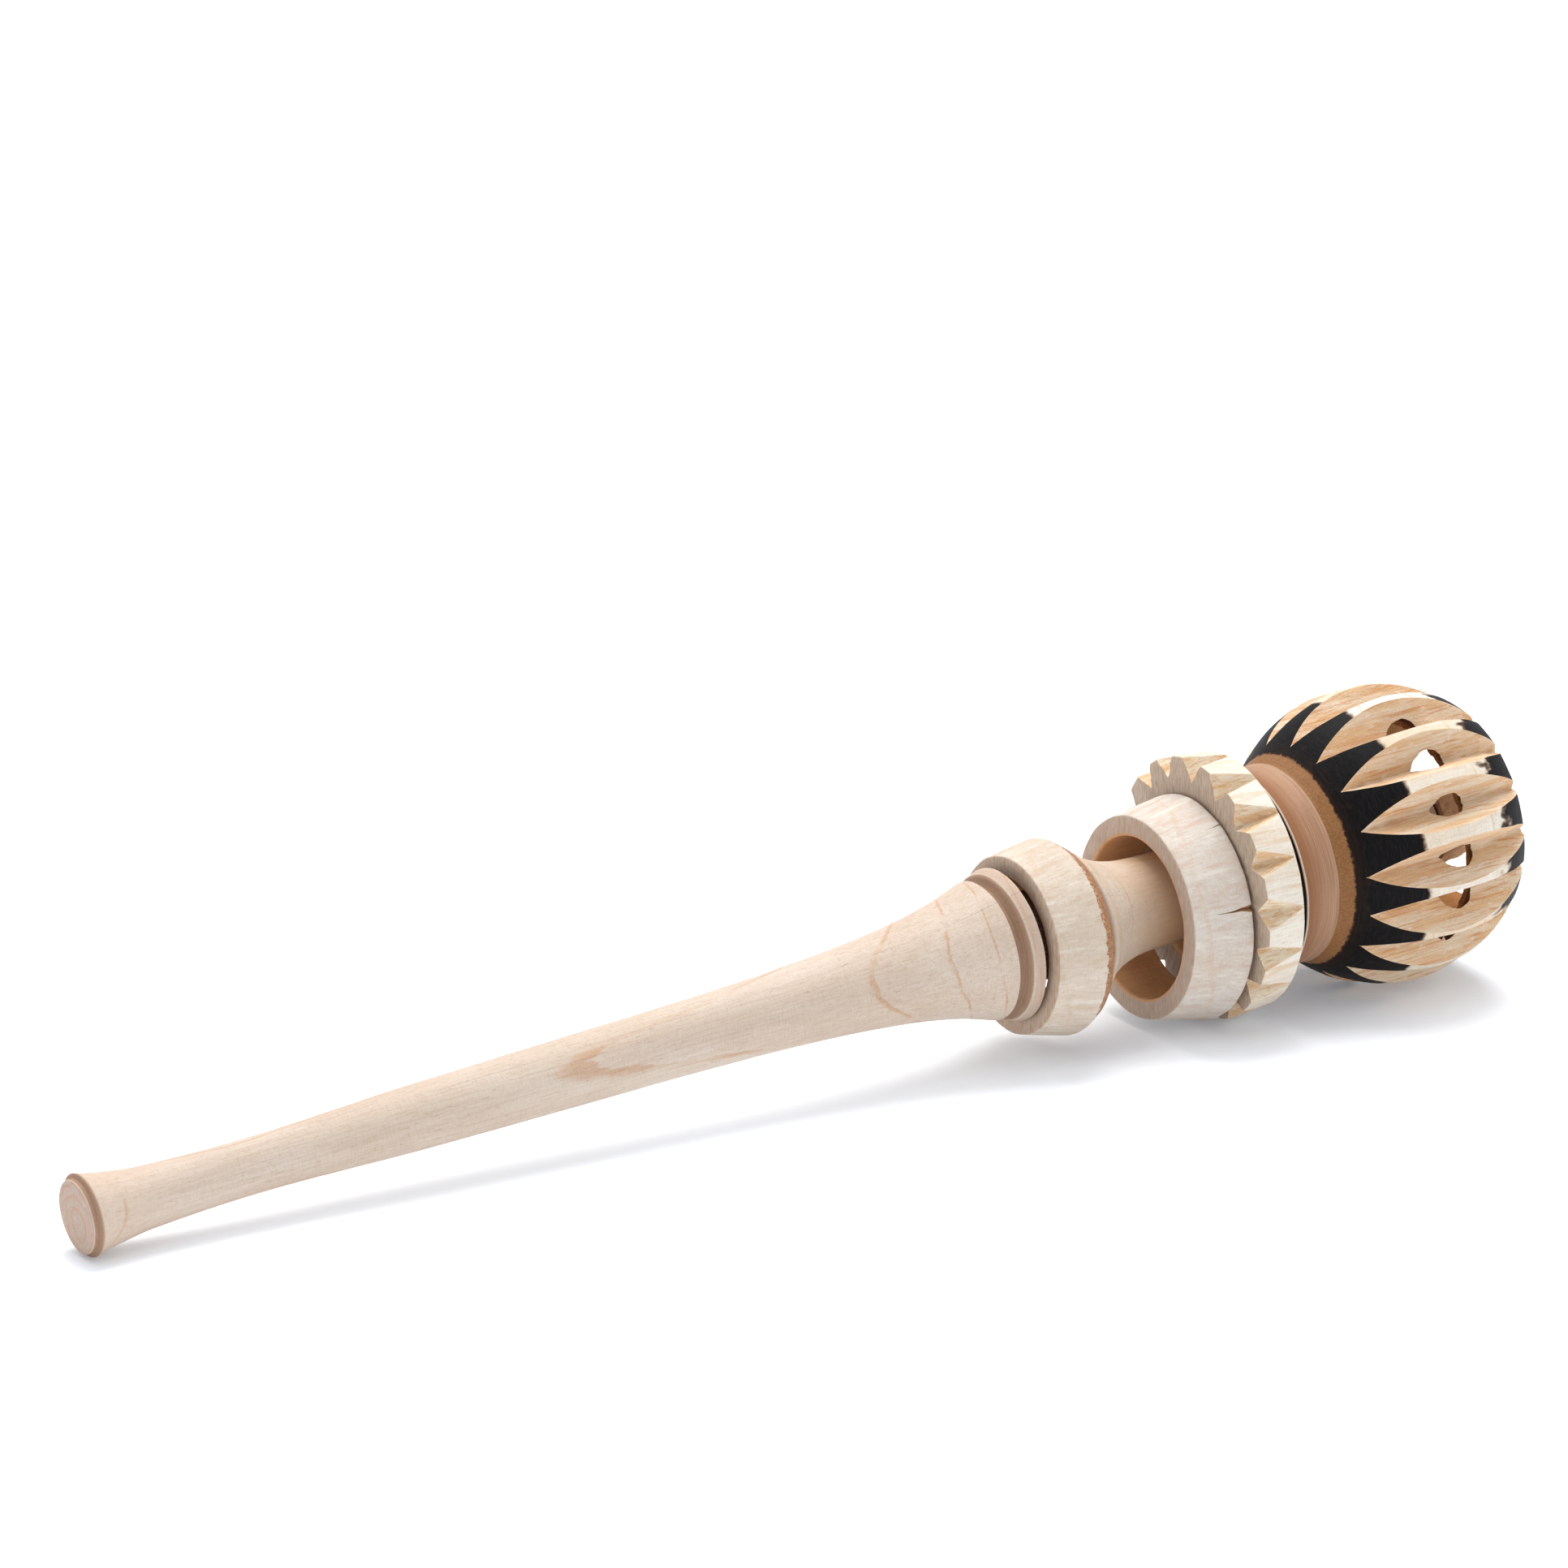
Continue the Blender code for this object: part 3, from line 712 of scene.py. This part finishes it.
def build_stick(matrix):
    stick = surface("stick", matrix, stick_outline(), stick_dress, flute_cuts(),
                    carve_after=COLLAR_END + 0.2)
    hollow = surface("hollow", matrix, hollow_outline(), hollow_dress, sides=300)
    materials = [turned_wood(matrix), carved_wood("stick_carved_wood", matrix, 81), hollow_wood(matrix)]
    for material in materials:
        stick.data.materials.append(material)
        hollow.data.materials.append(material)
    hollow.data.polygons.foreach_set("material_index", np.full(len(hollow.data.polygons), 2, np.int32))
    cut_away(stick, hollow)
    shade(stick)
    return stick


def plain_dress(seed):
    def dress(points, depth):
        return 0.05 * ripple(points, (7, 7, 12), seed) + 0.012 * ripple(points, (20, 20, 1.0), seed + 1)
    return dress


def crack_cutter(matrix, ring, from_top, length, width, depth):
    """A thin wedge, widest at the ring's right edge, that opens a drying crack."""
    angle = pi - radians(from_top)
    out = Vector((cos(angle), sin(angle), 0.0))
    side = Vector((-sin(angle), cos(angle), 0.0))
    along = Vector((0.0, 0.0, 1.0))
    slope = (ring["right"] - ring["left"]) / ring["width"]
    bends = [(-length, 0.02, 0.0), (-0.62 * length, 0.2, 0.12), (-0.3 * length, 0.5, -0.1), (0.6, 1.0, 0.0)]
    corners, faces = [], []
    for shift, share, drift in bends:
        centre = along * (ring["width"] + shift) + side * drift
        radius = ring["right"] + slope * shift
        half = side * (width * share / 2)
        corners += [centre + out * (radius - depth * max(share, 0.3)),
                    centre + out * (radius + CRACK_CLEARANCE) + half,
                    centre + out * (radius + CRACK_CLEARANCE) - half]
    for i in range(0, 3 * (len(bends) - 1), 3):
        faces += [(i + a, i + b, i + b + 3, i + a + 3) for a, b in ((0, 1), (1, 2), (2, 0))]
    last = len(corners) - 3
    faces += [(0, 2, 1), (last, last + 1, last + 2)]
    mesh = bpy.data.meshes.new("crack")
    mesh.from_pydata([c * MM for c in corners], [], faces)
    return finish_mesh("crack", mesh, matrix)


def build_narrow_ring(matrix):
    ring = surface("first_ring", matrix, ring_outline(NARROW), plain_dress(21), closed=True)
    s, colour, relief = ring_wood(
        "first_ring_wood", matrix, 101, NARROW, base=screen(226, 209, 190), warm=screen(220, 200, 178),
        streaks=screen(206, 176, 148), end_light=screen(206, 176, 150), end_dark=screen(176, 140, 112))
    colour, relief = torn_bevel(s, colour, relief, NARROW)
    ring.data.materials.append(s.finish(colour, 0.68, relief, 0.16))
    shade(ring)
    return ring


def build_wide_ring(matrix):
    ring = surface("second_ring", matrix, ring_outline(WIDE), plain_dress(31), closed=True)
    s, colour, relief = ring_wood(
        "second_ring_wood", matrix, 121, WIDE, base=screen(224, 212, 199), warm=screen(218, 202, 186),
        streaks=screen(208, 172, 150), end_light=screen(204, 174, 152), end_dark=screen(180, 148, 122))
    wood = s.finish(colour, 0.68, relief, 0.14)
    dark = crack_wood(matrix)
    ring.data.materials.append(wood)
    ring.data.materials.append(dark)
    for crack in WIDE_CRACKS:
        cutter = crack_cutter(matrix, WIDE, *crack)
        cutter.data.materials.append(wood)
        cutter.data.materials.append(dark)
        for face in cutter.data.polygons:
            face.material_index = 1
        cut_away(ring, cutter)
    shade(ring)
    return ring


def crack_wood(matrix):
    """The torn brown inside of a drying crack."""
    s = Shader("crack_wood", matrix)
    fuzz = s.noise((0.3, 0.3, 1.5), 141, 3.0)
    return s.finish(s.mix(fuzz, screen(150, 104, 60), screen(206, 160, 110)), 0.8, fuzz, 0.2)


def notch_cuts():
    """The toothed ring's notches: deep at its left face, running out at its right."""
    random = np.random.default_rng(29)
    slope = (NOTCH_DEPTH - NOTCH_RUN_OUT + TOOTHED["right"] - TOOTHED["left"]) / TOOTHED["width"]
    cuts = []
    for k in range(FLUTES):
        floor_left = TOOTHED["left"] - NOTCH_DEPTH + random.uniform(-0.35, 0.35)
        steeper = slope * random.uniform(0.93, 1.07)
        floor = [(station, floor_left + steeper * station) for station in (-3.0, TOOTHED["width"] + 3.0)]
        cuts.append(Cut(-360 * k / FLUTES + random.uniform(-0.8, 0.8),
                        VEE_HALF_ANGLE + radians(random.uniform(-2, 2)), floor))
    return cuts


def toothed_dress(points, depth):
    in_cut = np.clip(depth / 0.6, 0, 1)
    turned = 0.05 * ripple(points, (7, 7, 12), 41)
    strokes = 0.12 * ripple(points, (2.2, 2.2, 3.2), 42) + 0.06 * ripple(points, (0.8, 0.8, 2.0), 43)
    return turned * (1 - in_cut) + strokes * in_cut


def build_toothed_ring(matrix):
    outline = ring_outline(TOOTHED, 0.35)
    ring = surface("third_ring", matrix, outline, toothed_dress, notch_cuts(), closed=True)
    s, colour, relief = ring_wood(
        "third_ring_wood", matrix, 161, TOOTHED, base=screen(250, 240, 224), warm=screen(244, 228, 206),
        streaks=screen(226, 190, 150), end_light=screen(202, 172, 146), end_dark=screen(166, 138, 114))
    ring.data.materials.append(s.finish(colour, 0.68, relief, 0.14))
    ring.data.materials.append(carved_wood("third_ring_carved_wood", matrix, 181,
                                           base=screen(246, 226, 196), deep=screen(220, 172, 120)))
    shade(ring)
    return ring


# ---------------------------------------------------------------- studio

def build_floor():
    """A plain white floor, faintly luminous so that the shadows on it stay pale."""
    bpy.ops.mesh.primitive_plane_add(size=12.0, location=(0.0, 2.0, 0.0))
    floor = bpy.context.object
    floor.name = "floor"
    material = bpy.data.materials.new("floor_white")
    material.use_nodes = True
    shader = material.node_tree.nodes["Principled BSDF"]
    shader.inputs["Base Color"].default_value = (0.905, 0.925, 0.955, 1.0)
    shader.inputs["Roughness"].default_value = 0.9
    shader.inputs["Specular IOR Level"].default_value = 0.1
    shader.inputs["Emission Color"].default_value = (0.84, 0.92, 1.0, 1.0)
    shader.inputs["Emission Strength"].default_value = 0.14
    floor.data.materials.append(material)


def add_light(name, location, target, size, power, colour):
    """A round soft lamp that faces the target; metres and watts."""
    light = bpy.data.lights.new(name, "AREA")
    light.shape = "DISK"
    light.size = size
    light.energy = power
    light.color = colour
    lamp = bpy.data.objects.new(name, light)
    lamp.location = location
    lamp.rotation_euler = (Vector(target) - Vector(location)).to_track_quat("-Z", "Y").to_euler()
    bpy.context.scene.collection.objects.link(lamp)


def build_lights():
    """A pale even surround, a warm key behind and to the right of the head, and a broad light above."""
    world = bpy.data.worlds.new("studio")
    bpy.context.scene.world = world
    world.use_nodes = True
    background = world.node_tree.nodes["Background"]
    background.inputs["Color"].default_value = (0.93, 0.96, 1.0, 1.0)
    background.inputs["Strength"].default_value = 0.85
    object_centre = (0.05, 0.0, 0.02)
    add_light("key", location=(0.3, 0.45, 1.3), target=object_centre, size=1.15, power=19.5,
              colour=(1.0, 0.98, 0.955))
    add_light("overhead", location=(-0.1, 0.0, 2.4), target=object_centre, size=3.0, power=10.0,
              colour=(0.98, 0.99, 1.0))


def build_camera(butt_centre):
    camera = bpy.data.cameras.new("camera")
    camera.lens = CAMERA_LENS
    camera.sensor_width = SENSOR
    camera.clip_start = 0.05
    viewer = bpy.data.objects.new("camera", camera)
    viewer.location = butt_centre + CAMERA_FROM_BUTT
    viewer.rotation_euler = (radians(90 - CAMERA_DIP), 0.0, radians(CAMERA_HEADING - 90))
    bpy.context.scene.collection.objects.link(viewer)
    bpy.context.scene.camera = viewer
    bpy.context.scene.view_settings.view_transform = "Standard"


def main():
    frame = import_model()
    places = frames(frame["record"])
    builders = {
        "whisk_body": (build_stick, "stick_wood"),
        "narrow_ring": (build_narrow_ring, "narrow_ring_wood"),
        "wide_ring": (build_wide_ring, "wide_ring_wood"),
        "toothed_ring": (build_toothed_ring, "toothed_ring_wood"),
    }
    for body, (build, slot) in builders.items():
        piece = build(places[body])
        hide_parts(body)
        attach(piece, body)
    build_floor()
    build_lights()
    build_camera(places["whisk_body"].translation)


main()
